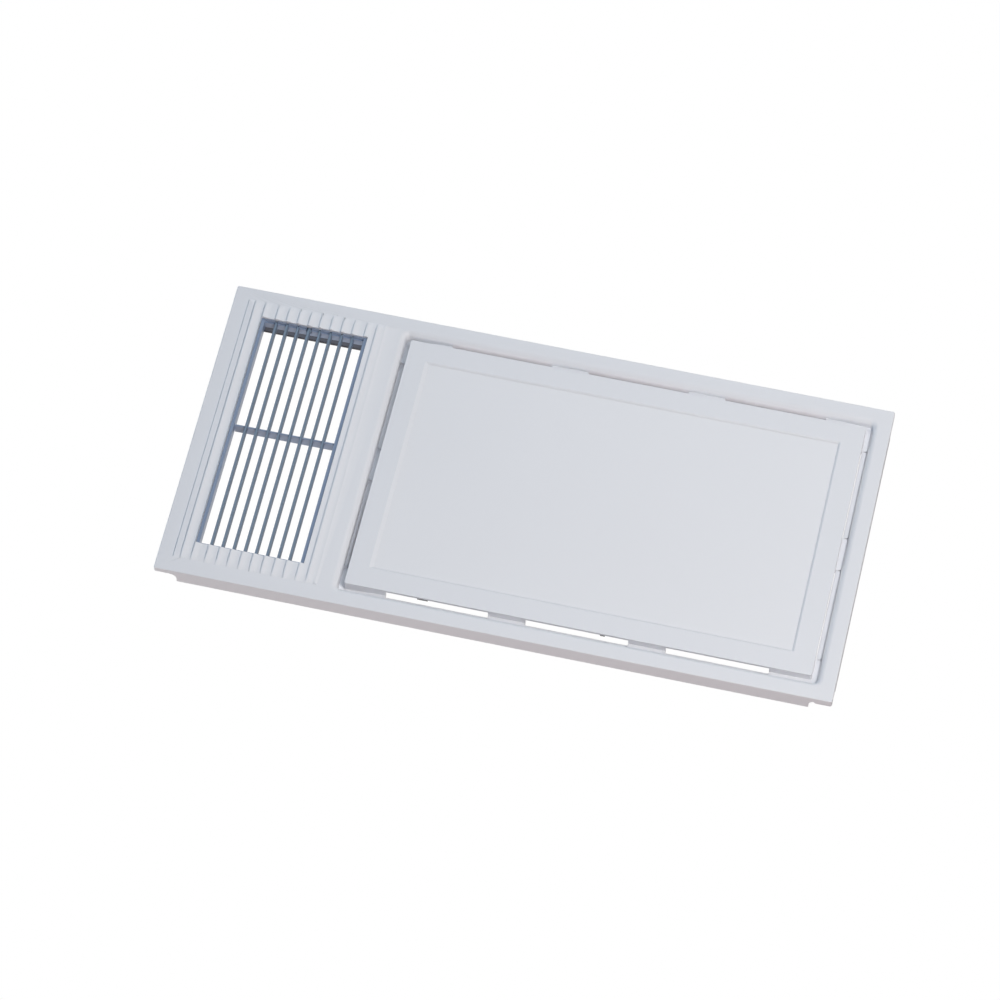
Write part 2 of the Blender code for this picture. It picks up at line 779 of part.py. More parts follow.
def outlet_collar(surface, parent):
    """Duct collar on the frame's tabs, open at the drive end below the wall that carries the motor."""
    base = tab_height + tab_wall + clearance
    collar = new_object("outlet_collar", [prism(collar_outline(collar_wall), base, collar_top)])
    flange = frame_width / 2 + clearance + collar_wall + tab_reach
    join(collar, block((outlet_x - flange, outlet_x + flange),
                       (drive_end + collar_wall, free_end - collar_wall), (base, base + collar_wall)))
    join(collar, prism(collar_outline(collar_lip), collar_top - collar_wall, collar_top))
    cut(collar, prism(collar_outline(0), base - overrun, collar_top + overrun))
    room = collar_link_room_width / 2
    cut(collar, block((outlet_x - room, outlet_x + room),
                      (drive_end - collar_wall - overrun, drive_end + overrun),
                      (base - overrun, collar_link_room)))
    combine(collar, "DIFFERENCE", [
        prism(circle(x, y, screw_hole_radius), base - overrun, base + collar_wall + overrun)
        for x, y in louvre_screw_places()])
    x = vane_x[driven_vane - 1]
    z = pivot_height + motor_offset + motor_ear_lift
    wall_face = drive_end - clearance
    boss_end = motor_face + 2 * clearance
    for side in (-1, 1):
        centre = x + side * motor_ear_reach
        join(collar, prism(circle(centre, z, collar_boss_radius), boss_end, wall_face - collar_wall / 2, "Y"))
        cut(collar, prism(circle(centre, z, motor_screw_radius + clearance, 12),
                          boss_end - overrun, wall_face - collar_wall, "Y"))
    return finish(collar, surface, parent)


def collar_gasket(surface, parent):
    """Foam ring on the collar's lip."""
    base = collar_top + clearance
    loops = [[(x, y, z) for x, y in collar_outline(wall)] for wall, z in (
        (0, base), (gasket_width, base), (gasket_width, base + gasket_height), (0, base + gasket_height))]
    return finish(new_object("collar_gasket", [loft(loops, closed=True)]), surface, parent)


def louvre_screws(surface, parent):
    under_head = tab_height + tab_wall + clearance + collar_wall + clearance
    tip = panel_wall + clearance
    mesh = screw_mesh(under_head - tip, "Z", screw_radius, screw_head_radius, screw_head_height)
    places = [(x, y, under_head) for x, y in louvre_screw_places()]
    screws("louvre_screw", places, mesh, surface, parent)


# Flat light

def light_sheet(name, half_x, half_y, base, wall):
    return new_object(name, [prism(rounded_rectangle(
        light_x - half_x, light_x + half_x, -half_y, half_y, least_corner, 2), base, base + wall)])


def flat_light(surfaces, parent):
    """Diffuser, light guide, reflector sheet and the two LED boards, stacked behind the bezel."""
    half_x = opening_half_length + light_overlap
    half_y = opening_half_width + light_overlap
    base = bezel_lip + clearance
    finish(light_sheet("diffuser", half_x, half_y, base, diffuser_wall), surfaces["diffuser"], parent)
    base += diffuser_wall + clearance
    guide_half_y = half_y - guide_margin
    finish(light_sheet("light_guide", half_x, guide_half_y, base, guide_wall), surfaces["clear"], parent)
    board_face = half_y - strip_wall
    for name, side in (("led_strip_front", 1), ("led_strip_rear", -1)):
        outline = led_strip_outline(half_x - strip_end_gap, side * half_y, side * board_face, -side)
        strip = new_object(name, [prism(outline, base, base + strip_height)])
        finish(strip, surfaces["board"], parent)
    base += guide_wall + clearance
    finish(light_sheet("reflector_sheet", half_x, half_y, base, sheet_wall), surfaces["white"], parent)


def led_strip_outline(half_x, back_y, face_y, inward):
    """Board with one tooth for each LED on its inner face."""
    points = [(light_x - half_x, back_y), (light_x - half_x, face_y)]
    for k in range(led_count):
        x = light_x - half_x + 2 * half_x * (k + 0.5) / led_count
        lit_y = face_y + inward * led_reach
        points += [(x - led_width / 2, face_y), (x - led_width / 2, lit_y)]
        points += [(x + led_width / 2, lit_y), (x + led_width / 2, face_y)]
    return points + [(light_x + half_x, face_y), (light_x + half_x, back_y)]


def light_pan(surface, parent):
    """Pressed pan over the light, with a tab at each screw."""
    half_x, half_y = pan_half_length, pan_half_width
    outer = rounded_rectangle(light_x - half_x, light_x + half_x, -half_y, half_y, least_corner, 2)
    pan = new_object("light_pan", [prism(outer, panel_wall + clearance, pan_top)])
    inner_x, inner_y = half_x - pan_wall, half_y - pan_wall
    cut(pan, block((light_x - inner_x, light_x + inner_x), (-inner_y, inner_y),
                   (panel_wall - overrun, pan_top - pan_wall)))
    tab = pan_tab_width / 2
    tabs = []
    for x, y in light_boss_places():
        if y:
            across = sorted((y + math.copysign(tab, y), math.copysign(half_y - pan_wall / 2, y)))
            tabs.append(block((x - tab, x + tab), across, (pan_top - pan_wall, pan_top)))
        else:
            side = math.copysign(1, x - light_x)
            across = sorted((x + side * tab, light_x + side * (half_x - pan_wall / 2)))
            tabs.append(block(across, (-tab, tab), (pan_top - pan_wall, pan_top)))
    combine(pan, "UNION", tabs)
    combine(pan, "DIFFERENCE", [
        prism(circle(x, y, screw_hole_radius), pan_top - pan_wall - overrun, pan_top + overrun)
        for x, y in light_boss_places()])
    return finish(pan, surface, parent)


def light_screws(surface, parent):
    length = pan_top - panel_wall
    mesh = screw_mesh(length, "Z", screw_radius, screw_head_radius, screw_head_height)
    places = [(x, y, pan_top + clearance) for x, y in light_boss_places()]
    screws("light_screw", places, mesh, surface, parent)


# LED driver

def driver_screw_places():
    reach = driver_length / 2 + driver_foot_reach / 2
    return [(light_x - reach, 0), (light_x + reach, 0)]


def driver_case(surface, parent):
    """Open tray with a foot at each end and a cable hole above each foot."""
    half_x, half_y = driver_length / 2, driver_width / 2
    top = driver_base + driver_height - driver_wall - clearance
    outer = rounded_rectangle(light_x - half_x, light_x + half_x, -half_y, half_y, driver_corner)
    case = new_object("driver_case", [prism(outer, driver_base, top)])
    foot = driver_foot_width / 2
    reach = half_x + driver_foot_reach
    join(case, block((light_x - reach, light_x + reach), (-foot, foot),
                     (driver_base, driver_base + driver_wall)))
    inner_x, inner_y = half_x - driver_wall, half_y - driver_wall
    cut(case, prism(rounded_rectangle(light_x - inner_x, light_x + inner_x, -inner_y, inner_y,
                                      driver_corner - driver_wall), driver_base + driver_wall, top + overrun))
    cable_z = (driver_base + top) / 2
    for side in (-1, 1):
        ends = sorted((light_x + side * (inner_x - overrun), light_x + side * (half_x + overrun)))
        cut(case, prism(circle(0, cable_z, driver_cable_hole / 2), *ends, "X"))
    combine(case, "DIFFERENCE", [
        prism(circle(x, y, screw_hole_radius), driver_base - overrun, driver_base + driver_wall + overrun)
        for x, y in driver_screw_places()])
    return finish(case, surface, parent)


def driver_cover(surface, parent):
    half_x, half_y = driver_length / 2, driver_width / 2
    base = driver_base + driver_height - driver_wall
    outline = rounded_rectangle(light_x - half_x, light_x + half_x, -half_y, half_y, driver_corner)
    cover = new_object("driver_cover", [prism(outline, base, base + driver_wall)])
    return finish(cover, surface, parent)


def driver_board(surface, parent):
    """Circuit board on the case floor's height, with capacitors, a coil and a chip."""
    half_x = driver_length / 2 - driver_wall - board_margin
    half_y = driver_width / 2 - driver_wall - board_margin
    base = driver_base + driver_wall + clearance
    top = base + board_wall
    root = top - board_wall / 2
    board = new_object("driver_board", [block(
        (light_x - half_x, light_x + half_x), (-half_y, half_y), (base, top))])
    parts = [prism(circle(light_x + capacitor_x, side * capacitor_pitch, capacitor_radius, 12),
                   root, top + capacitor_height) for side in (-1, 0, 1)]
    parts.append(block((light_x + coil_x - coil_length / 2, light_x + coil_x + coil_length / 2),
                       (-coil_width / 2, coil_width / 2), (root, top + coil_height)))
    parts.append(block((light_x + chip_x - chip_length / 2, light_x + chip_x + chip_length / 2),
                       (-chip_width / 2, chip_width / 2), (root, top + chip_height)))
    combine(board, "UNION", parts)
    return finish(board, surface, parent)


def driver_screws(surface, parent):
    under_head = driver_base + driver_wall + clearance
    mesh = screw_mesh(under_head - driver_base, "Z", screw_radius, screw_head_radius, screw_head_height)
    places = [(x, y, under_head) for x, y in driver_screw_places()]
    screws("driver_screw", places, mesh, surface, parent)


# Terminal block and lead clip

def light_terminal(surface, parent):
    """Push-in block for the supply lead, with two wire holes in its back."""
    low_x, high_x = terminal_x - terminal_width / 2, terminal_x + terminal_width / 2
    outline = rounded_rectangle(terminal_front - terminal_depth, terminal_front, driver_base, terminal_top,
                                terminal_round, 3)
    terminal = new_object("light_terminal", [prism(outline, low_x, high_x, "X")])
    middle = terminal_front - terminal_depth / 2
    combine(terminal, "DIFFERENCE", [
        prism(circle(terminal_x + side * terminal_hole_pitch / 2, middle, terminal_hole_radius, 12),
              terminal_top - terminal_hole_depth, terminal_top + overrun) for side in (-1, 1)])
    return finish(terminal, surface, parent)


def lead_clip(surface, parent):
    """Springy loop that holds the supply lead, open towards the middle of the panel."""
    low_x, high_x = clip_x - clip_width / 2, clip_x + clip_width / 2
    back = terminal_front - terminal_depth
    outline = rounded_rectangle(back, terminal_front, driver_base, terminal_top, terminal_round, 3)
    clip = new_object("lead_clip", [prism(outline, low_x, high_x, "X")])
    inner = rounded_rectangle(back + clip_wall, terminal_front - clip_wall, driver_base + clip_wall,
                              terminal_top - clip_wall, terminal_round, 3)
    cut(clip, prism(inner, low_x - overrun, high_x + overrun, "X"))
    middle = (driver_base + terminal_top) / 2
    cut(clip, block((low_x - overrun, high_x + overrun), (back - overrun, back + clip_wall + overrun),
                    (middle - clip_mouth / 2, middle + clip_mouth / 2)))
    return finish(clip, surface, parent)


def build():
    clear_scene()
    white = material("white_abs", (0.80, 0.81, 0.84), 0.45)
    slate = material("slate_louvre", (0.24, 0.29, 0.36), 0.35, 0.4)
    dark = material("dark_collar", (0.05, 0.06, 0.08), 0.6)
    steel = material("zinc_screw", (0.62, 0.62, 0.64), 0.3, 1.0)
    black = material("black_nylon", (0.02, 0.02, 0.025), 0.5)
    foam = material("grey_foam", (0.12, 0.12, 0.13), 0.95)
    can = material("motor_can", (0.7, 0.7, 0.72), 0.35, 0.9)
    light = {
        "diffuser": material("opal_diffuser", (0.88, 0.89, 0.9), 0.4),
        "clear": material("clear_guide", (0.9, 0.93, 0.95), 0.05, 0.0, 1.0),
        "board": material("white_board", (0.85, 0.86, 0.85), 0.5),
        "white": material("white_sheet", (0.92, 0.92, 0.92), 0.7),
    }
    unit = bpy.data.objects.new("face_unit", None)
    bpy.context.scene.collection.objects.link(unit)
    face_panel(white, unit)
    louvre_frame(slate, unit)
    vanes(slate, unit)
    vane_link(black, unit)
    louvre_motor(can, unit)
    motor_shaft(steel, unit)
    motor_screws(steel, unit)
    outlet_collar(dark, unit)
    collar_gasket(foam, unit)
    louvre_screws(steel, unit)
    flat_light(light, unit)
    light_pan(steel, unit)
    light_screws(steel, unit)
    driver_case(white, unit)
    driver_cover(white, unit)
    driver_board(material("green_board", (0.05, 0.25, 0.12), 0.5), unit)
    driver_screws(steel, unit)
    light_terminal(black, unit)
    lead_clip(black, unit)


build()
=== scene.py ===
import math

import bmesh
import bpy
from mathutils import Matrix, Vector


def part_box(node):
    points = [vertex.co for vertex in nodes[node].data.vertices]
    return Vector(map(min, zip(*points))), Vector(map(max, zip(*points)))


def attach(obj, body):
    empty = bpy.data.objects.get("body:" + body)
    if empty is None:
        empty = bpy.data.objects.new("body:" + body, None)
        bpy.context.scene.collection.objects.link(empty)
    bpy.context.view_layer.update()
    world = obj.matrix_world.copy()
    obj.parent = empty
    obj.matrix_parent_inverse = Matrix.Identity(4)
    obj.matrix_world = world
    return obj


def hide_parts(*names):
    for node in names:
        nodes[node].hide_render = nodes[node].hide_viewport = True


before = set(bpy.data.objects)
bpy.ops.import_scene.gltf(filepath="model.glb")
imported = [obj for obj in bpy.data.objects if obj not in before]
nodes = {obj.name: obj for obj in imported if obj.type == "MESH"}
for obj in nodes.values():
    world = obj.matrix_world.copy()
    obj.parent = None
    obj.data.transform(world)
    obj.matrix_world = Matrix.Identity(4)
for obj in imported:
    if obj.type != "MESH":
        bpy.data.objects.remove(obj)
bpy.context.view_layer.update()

scene = bpy.context.scene
MM = 0.001


# The room: the unit hangs overhead and is seen from below, as under a bathroom ceiling. The floor is far below,
# the air behind the unit is plain white, and nine soft lamps stand round it, with the key lamp on its right.
camera_data = bpy.data.cameras.new("room_view")
camera_data.sensor_width = 36
camera_data.lens = 182.265
camera_data.clip_end = 60
camera = bpy.data.objects.new("room_view", camera_data)
camera.location = (0.454755, 2.231805, -3.811684)
camera.rotation_euler = (math.radians(-149.2724), math.radians(0.3249), math.radians(-12.6769))
scene.collection.objects.link(camera)
scene.camera = camera
scene.view_settings.view_transform = "Standard"


def put(tree, kind, inputs=(), **settings):
    """Adds a node. Inputs are values or other nodes' outputs, by the input's name or number."""
    node = tree.nodes.new(kind)
    for key, value in settings.items():
        setattr(node, key, value)
    for key, value in dict(inputs).items():
        if isinstance(value, bpy.types.NodeSocket):
            tree.links.new(value, node.inputs[key])
        else:
            node.inputs[key].default_value = value
    return node


world = bpy.data.worlds.new("plain_white_air")
world.use_nodes = True
scene.world = world
air = world.node_tree
air.nodes.clear()
seen = put(air, "ShaderNodeLightPath").outputs
direct = put(air, "ShaderNodeMath", {0: seen["Is Camera Ray"], 1: seen["Is Glossy Ray"]}, operation="MAXIMUM")
clear = put(air, "ShaderNodeMath", {0: direct.outputs[0], 1: seen["Is Transmission Ray"]}, operation="MAXIMUM")
white_air = put(air, "ShaderNodeBackground", {"Color": (1, 1, 1, 1)})
fill_air = put(air, "ShaderNodeBackground", {"Color": (0.72, 0.88, 1.0, 1), "Strength": 0.03})
whole_air = put(air, "ShaderNodeMixShader", {0: clear.outputs[0], 1: fill_air.outputs[0], 2: white_air.outputs[0]})
put(air, "ShaderNodeOutputWorld", {"Surface": whole_air.outputs[0]})


def soft_lamp(name, place, size, power, colour):
    """Round soft light that points at the middle of the unit."""
    data = bpy.data.lights.new(name, "AREA")
    data.shape = "DISK"
    data.size = size
    data.energy = power
    data.color = colour
    lamp = bpy.data.objects.new(name, data)
    lamp.location = place
    lamp.rotation_euler = (-Vector(place)).to_track_quat("-Z", "Y").to_euler()
    scene.collection.objects.link(lamp)


soft_lamp("right_key", (1.1, 1.0, -2.1), 0.6, 28.2, (1.0, 0.97, 0.95))
soft_lamp("high_right", (0.8, 0.2, -2.5), 0.4, 7.8, (0.98, 0.985, 1.0))
soft_lamp("right_side", (2.0, 0.6, -1.6), 1.2, 9.3, (1.0, 0.9, 0.77))
soft_lamp("front_of_room", (0.2, 2.2, -1.4), 0.6, 8.1, (1.0, 0.95, 0.965))
soft_lamp("rear_of_room", (0.0, -2.2, -1.6), 1.6, 21.5, (0.88, 0.945, 1.0))
soft_lamp("from_below", (0.0, 0.0, -2.6), 1.6, 6.4, (0.7, 0.86, 1.0))
soft_lamp("left_fill", (-2.6, -0.3, -0.8), 1.6, 10.3, (0.25, 0.61, 1.0))
soft_lamp("behind_left", (-1.8, 0.6, 1.2), 1.4, 31.8, (0.97, 1.0, 0.985))
soft_lamp("behind_front", (0.2, 2.0, 1.3), 1.4, 9.8, (1.0, 0.73, 0.75))

floor_reach, floor_level = 14, -5
floor_mesh = bpy.data.meshes.new("room_floor")
floor_mesh.from_pydata([(x * floor_reach, y * floor_reach, floor_level) for x, y in
                        ((-1, -1), (1, -1), (1, 1), (-1, 1))], [], [(0, 1, 2, 3)])
floor = bpy.data.objects.new("room_floor", floor_mesh)
scene.collection.objects.link(floor)
floor_paint = bpy.data.materials.new("pale_floor")
floor_paint.use_nodes = True
floor_shader = floor_paint.node_tree.nodes["Principled BSDF"]
floor_shader.inputs["Base Color"].default_value = (0.82, 0.82, 0.83, 1)
floor_shader.inputs["Roughness"].default_value = 0.9
floor_mesh.materials.append(floor_paint)


# Face panel: one injection moulding of white ABS, 2.2 mm thick, with a spark-eroded satin face. Its skirts clip
# into the ceiling keels, and everything else is screwed to the bosses on its back.
def shader_group(name, inputs, outputs):
    """Empty group with named number sockets, given with its input and output nodes."""
    group = bpy.data.node_groups.new(name, "ShaderNodeTree")
    for label, value in inputs.items():
        socket = group.interface.new_socket(name=label, in_out="INPUT", socket_type="NodeSocketFloat")
        socket.default_value = value
    for label in outputs:
        group.interface.new_socket(name=label, in_out="OUTPUT", socket_type="NodeSocketFloat")
    return group, put(group, "NodeGroupInput").outputs, put(group, "NodeGroupOutput").inputs


def grain_group():
    """Fine moulded grain: a height for the bump, and a mask that varies slowly over the surface."""
    group, given, shown = shader_group(
        "moulded_grain", {"Grain Scale": 2600.0, "Patch Scale": 9.0}, ("Height", "Patch"))
    place = put(group, "ShaderNodeTexCoord").outputs["Object"]
    fine = put(group, "ShaderNodeTexNoise", {"Vector": place, "Scale": given["Grain Scale"], "Detail": 3})
    slow = put(group, "ShaderNodeTexNoise", {"Vector": place, "Scale": given["Patch Scale"], "Detail": 2})
    group.links.new(fine.outputs["Fac"], shown["Height"])
    group.links.new(slow.outputs["Fac"], shown["Patch"])
    return group


def handling_group():
    """Faint smudges left by hands and cloths: a mask of soft long streaks."""
    group, given, shown = shader_group(
        "handling_marks", {"Mark Scale": 30.0, "Amount": 0.5}, ("Marks",))
    place = put(group, "ShaderNodeTexCoord").outputs["Object"]
    pulled = put(group, "ShaderNodeMapping", {"Vector": place, "Scale": (0.35, 1.0, 1.0),
                                              "Rotation": (0.0, 0.0, math.radians(24))})
    streak = put(group, "ShaderNodeTexNoise", {
        "Vector": pulled.outputs[0], "Scale": given["Mark Scale"], "Detail": 5, "Roughness": 0.62})
    soft = put(group, "ShaderNodeMapRange", {
        "Value": streak.outputs["Fac"], "From Min": 0.5, "From Max": 0.72, "To Max": given["Amount"]})
    group.links.new(soft.outputs["Result"], shown["Marks"])
    return group


moulded_grain = grain_group()
handling_marks = handling_group()


def plain_material(name):
    """Material with its node tree and shader."""
    made = bpy.data.materials.new(name)
    made.use_nodes = True
    return made, made.node_tree, made.node_tree.nodes["Principled BSDF"].inputs


def tinted(tree, shader, factor, low, high):
    """Drives the colour between two values."""
    tint = put(tree, "ShaderNodeMix", {"Factor": factor, "A": (*low, 1), "B": (*high, 1)}, data_type="RGBA")
    tree.links.new(tint.outputs["Result"], shader["Base Color"])


def moulded(name, low, high, rough_low, rough_high, bump, grain=2600.0, patch=9.0, marks=0.35, shine=0.5):
    """Moulded plastic: colour and gloss drift a little under a fine grain, and smudges dull the gloss."""
    made, tree, shader = plain_material(name)
    shader["Specular IOR Level"].default_value = shine
    skin = put(tree, "ShaderNodeGroup", node_tree=moulded_grain)
    skin.inputs["Grain Scale"].default_value = grain
    skin.inputs["Patch Scale"].default_value = patch
    smudge = put(tree, "ShaderNodeGroup", node_tree=handling_marks)
    smudge.inputs["Amount"].default_value = marks
    tinted(tree, shader, skin.outputs["Patch"], low, high)
    blend = put(tree, "ShaderNodeMath", {0: skin.outputs["Patch"], 1: smudge.outputs["Marks"]}, operation="ADD")
    gloss = put(tree, "ShaderNodeMapRange", {
        "Value": blend.outputs[0], "To Min": rough_low, "To Max": rough_high})
    tree.links.new(gloss.outputs["Result"], shader["Roughness"])
    relief = put(tree, "ShaderNodeBump", {
        "Height": skin.outputs["Height"], "Strength": bump, "Distance": 0.05 * MM})
    tree.links.new(relief.outputs["Normal"], shader["Normal"])
    return made


def painted(mesh, surface):
    """Gives a mesh one finish all over."""
    mesh.materials.clear()
    mesh.materials.append(surface)


def made_plain(piece):
    """Applies the modifiers of a piece, which leaves it a plain mesh."""
    graph = bpy.context.evaluated_depsgraph_get()
    made = bpy.data.meshes.new_from_object(piece.evaluated_get(graph))
    piece.modifiers.clear()
    piece.data = made


def softened(name, node, edge, surface, smooth=32, rings=2, nose=None, opening=None, reshape=None):
    """Copy of a solid with merged corners, clean flats and small rounded edges. Edges count as edges from the
    angle called smooth. A nose is a test that picks edges and the radius that they get first, an opening is a
    tree that cuts the copy, and reshape is the two ways in which corners move before and after the merge."""
    mesh = nodes[node].data.copy()
    bm = bmesh.new()
    bm.from_mesh(mesh)
    if reshape:
        for corner in bm.verts:
            corner.co = reshape[0](corner.co)
    bmesh.ops.remove_doubles(bm, verts=bm.verts, dist=2e-6)
    bmesh.ops.dissolve_degenerate(bm, edges=bm.edges, dist=2e-6)
    bmesh.ops.dissolve_limit(bm, angle_limit=math.radians(0.1), verts=bm.verts, edges=bm.edges)
    if reshape:
        for corner in bm.verts:
            corner.co = reshape[1](corner.co)
    if nose:
        picked = [line for line in bm.edges if nose[0](line)]
        bmesh.ops.bevel(bm, geom=picked, offset=nose[1], segments=5, profile=0.5, affect="EDGES")
    large = [face for face in bm.faces if len(face.verts) > 4]
    bmesh.ops.triangulate(bm, faces=large, ngon_method="BEAUTY")
    bm.to_mesh(mesh)
    bm.free()
    mesh.name = name
    painted(mesh, surface)
    mesh.shade_smooth()
    mesh.set_sharp_from_angle(angle=math.radians(smooth))
    piece = bpy.data.objects.new(name, mesh)
    scene.collection.objects.link(piece)
    if opening:
        cut = piece.modifiers.new("opening", "NODES")
        cut.node_group = opening
    rounding = piece.modifiers.new("edge", "BEVEL")
    rounding.width = edge
    rounding.segments = rings
    rounding.limit_method = "ANGLE"
    rounding.angle_limit = math.radians(smooth)
    rounding.use_clamp_overlap = False
    rounding.miter_outer = "MITER_ARC"
    flats = piece.modifiers.new("flats", "WEIGHTED_NORMAL")
    flats.mode = "FACE_AREA"
    flats.weight = 100
    flats.keep_sharp = True
    made_plain(piece)
    return piece


def stands_for(piece, slot, body, *replaced):
    """Puts a piece on its body and hides the solids that it stands for. Its slot is not used."""
    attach(piece, body)
    if replaced:
        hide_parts(*replaced)


white_abs = moulded("white_abs", (0.735, 0.742, 0.775), (0.75, 0.757, 0.79), 0.42, 0.52, bump=0.25)
web_floor, window_floor, window_edge = 5.4 * MM, 11 * MM, 4 * MM
light_side_x, web_edge_x = -147 * MM, -140 * MM
far_windows_x, front_windows_y = 276 * MM, 124 * MM
lip_edge_x = -115.6 * MM
fins_x = (-282 * MM, -160 * MM)
raised = [corner.co for corner in nodes["face_panel"].data.vertices if corner.co.z < -0.5 * MM]
fin_ends = (min(place.y for place in raised), max(place.y for place in raised))


def share(value, start, end):
    """How far a value has come from start to end, as 0 to 1."""
    return min(max((value - start) / (end - start), 0.0), 1.0)


def is_at(value, level, margin=0.05 * MM):
    """The value lies on the level."""
    return abs(value - level) < margin


def channel_shape(place):
    """The channel's floor between the windows lies deepest beside the louvre, and a little deeper in front and at
    the far end. Beside the far windows it lies nearer the room, and the front windows reach up to the bezel."""
    x, y, z = place
    if is_at(z, web_floor, 0.1 * MM) and x > light_side_x:
        beside_louvre = 5.6 * MM * share(x, -127 * MM, -134 * MM)
        far_end = 2.2 * MM * share(x, 268 * MM, 279 * MM)
        in_front = 2.4 * MM * share(y, 115 * MM, 126 * MM)
        z += max(beside_louvre, far_end, in_front)
        x = max(x, web_edge_x)
    if is_at(z, window_floor) and x > far_windows_x:
        z -= 3.2 * MM
    if is_at(z, window_edge) and y > front_windows_y:
        z -= 1.3 * MM
    return Vector((x, y, z))


def face_shape(place):
    """Fins run out over 6 mm at both ends, and so leave no line across the field. The light's lip is widest
    beside the louvre."""
    x, y, z = place
    run_out, wider = 4.8 * MM, 1.9 * MM
    if z < -0.5 * MM and fins_x[0] < x < fins_x[1]:
        if is_at(y, fin_ends[0], 0.1 * MM):
            y += run_out
        elif is_at(y, fin_ends[1], 0.1 * MM):
            y -= run_out
    if is_at(z, 0) and is_at(x, lip_edge_x, 0.1 * MM):
        x -= wider
    return Vector((x, y, z))


face_moulding = softened("face_moulding", "face_panel", 0.25 * MM, white_abs, reshape=(channel_shape, face_shape))
stands_for(face_moulding, "white_abs", "panel", "face_panel")


# Stiffening gussets: thin triangular webs of the same moulding, where the skirts and the screw bosses stand on
# the back of the face.
def size_tree(name, sizes):
    """Geometry Nodes tree with one named input for each size, given with its input and output nodes."""
    tree = bpy.data.node_groups.new(name, "GeometryNodeTree")
    tree.interface.new_socket(name="Geometry", in_out="INPUT", socket_type="NodeSocketGeometry")
    for label, value in sizes.items():
        kind = "NodeSocketInt" if isinstance(value, int) else "NodeSocketFloat"
        tree.interface.new_socket(name=label, in_out="INPUT", socket_type=kind).default_value = value
    tree.interface.new_socket(name="Material", in_out="INPUT", socket_type="NodeSocketMaterial")
    tree.interface.new_socket(name="Geometry", in_out="OUTPUT", socket_type="NodeSocketGeometry")
    return tree, put(tree, "NodeGroupInput").outputs, put(tree, "NodeGroupOutput")


def end_tree(tree, shape, given, end):
    """Makes the copies real and paints them."""
    real = put(tree, "GeometryNodeRealizeInstances", {"Geometry": shape})
    finished = put(tree, "GeometryNodeSetMaterial", {"Geometry": real.outputs[0], "Material": given["Material"]})
    tree.links.new(finished.outputs[0], end.inputs[0])
    return tree


def sum_of(tree, first, second, operation="ADD"):
    """Sum of two values, or what another operation makes of them."""
    return put(tree, "ShaderNodeMath", {0: first, 1: second}, operation=operation).outputs[0]


def triple(tree, x=0.0, y=0.0, z=0.0):
    """Three values as one size or place."""
    return put(tree, "ShaderNodeCombineXYZ", {"X": x, "Y": y, "Z": z}).outputs[0]


def moved(tree, shape, **how):
    """Shape moved, turned or scaled, by the names of the transform's inputs."""
    inputs = {"Geometry": shape, **{key.capitalize(): value for key, value in how.items()}}
    return put(tree, "GeometryNodeTransform", inputs).outputs[0]


def at_spots(tree, given, shape):
    """A copy of the shape at each vertex, turned by the vertex's own angles."""
    turn = put(tree, "GeometryNodeInputNamedAttribute", {"Name": "turn"}, data_type="FLOAT_VECTOR")
    way = put(tree, "FunctionNodeEulerToRotation", {0: turn.outputs["Attribute"]})
    return put(tree, "GeometryNodeInstanceOnPoints", {
        "Points": given["Geometry"], "Instance": shape, "Rotation": way.outputs[0]}).outputs[0]


def spots(name, places):
    """Vertices for the copies, each given as its place and the three angles that its copy is turned by."""
    mesh = bpy.data.meshes.new(name)
    mesh.from_pydata([place for place, turn in places], [], [])
    turns = mesh.attributes.new("turn", "FLOAT_VECTOR", "POINT")
    turns.data.foreach_set("vector", [angle for place, turn in places for angle in turn])
    return mesh


def made_by(name, tree, start, surface, sizes=()):
    """Runs a tree with its sizes set, and keeps the result as a plain mesh."""
    piece = bpy.data.objects.new(name, start)
    scene.collection.objects.link(piece)
    work = piece.modifiers.new("make", "NODES")
    work.node_group = tree
    for item in tree.interface.items_tree:
        if item.in_out == "INPUT" and item.name in sizes:
            work[item.identifier] = sizes[item.name]
        elif item.in_out == "INPUT" and item.name == "Material":
            work[item.identifier] = surface
    made_plain(piece)
    piece.data.shade_smooth()
    piece.data.set_sharp_from_angle(angle=math.radians(35))
    return piece


def gusset_tree():
    """Wedge that stands on XY with its back on XZ, narrowing to a small tip."""
    tree, given, end = size_tree("gusset", {"Thickness": 1.2 * MM, "Reach": 6 * MM, "Height": 9 * MM, "Tip": 1 * MM})
    size = triple(tree, given["Thickness"], given["Reach"], given["Height"])
    brick = put(tree, "GeometryNodeMeshCube", {"Size": size}).outputs["Mesh"]
    part = put(tree, "ShaderNodeSeparateXYZ", {0: put(tree, "GeometryNodeInputPosition").outputs[0]}).outputs
    outer = sum_of(tree, part["Y"], 0.0, "GREATER_THAN")
    upper = sum_of(tree, part["Z"], 0.0, "GREATER_THAN")
    draw_in = triple(tree, y=sum_of(tree, given["Tip"], given["Reach"], "SUBTRACT"))
    wedge = put(tree, "GeometryNodeSetPosition", {
        "Geometry": brick, "Selection": sum_of(tree, outer, upper, "MULTIPLY"), "Offset": draw_in}).outputs[0]
    half_reach = sum_of(tree, given["Reach"], 0.5, "MULTIPLY")
    half_height = sum_of(tree, given["Height"], 0.5, "MULTIPLY")
    wedge = moved(tree, wedge, translation=triple(tree, 0.0, half_reach, half_height))
    return end_tree(tree, at_spots(tree, given, wedge), given, end)


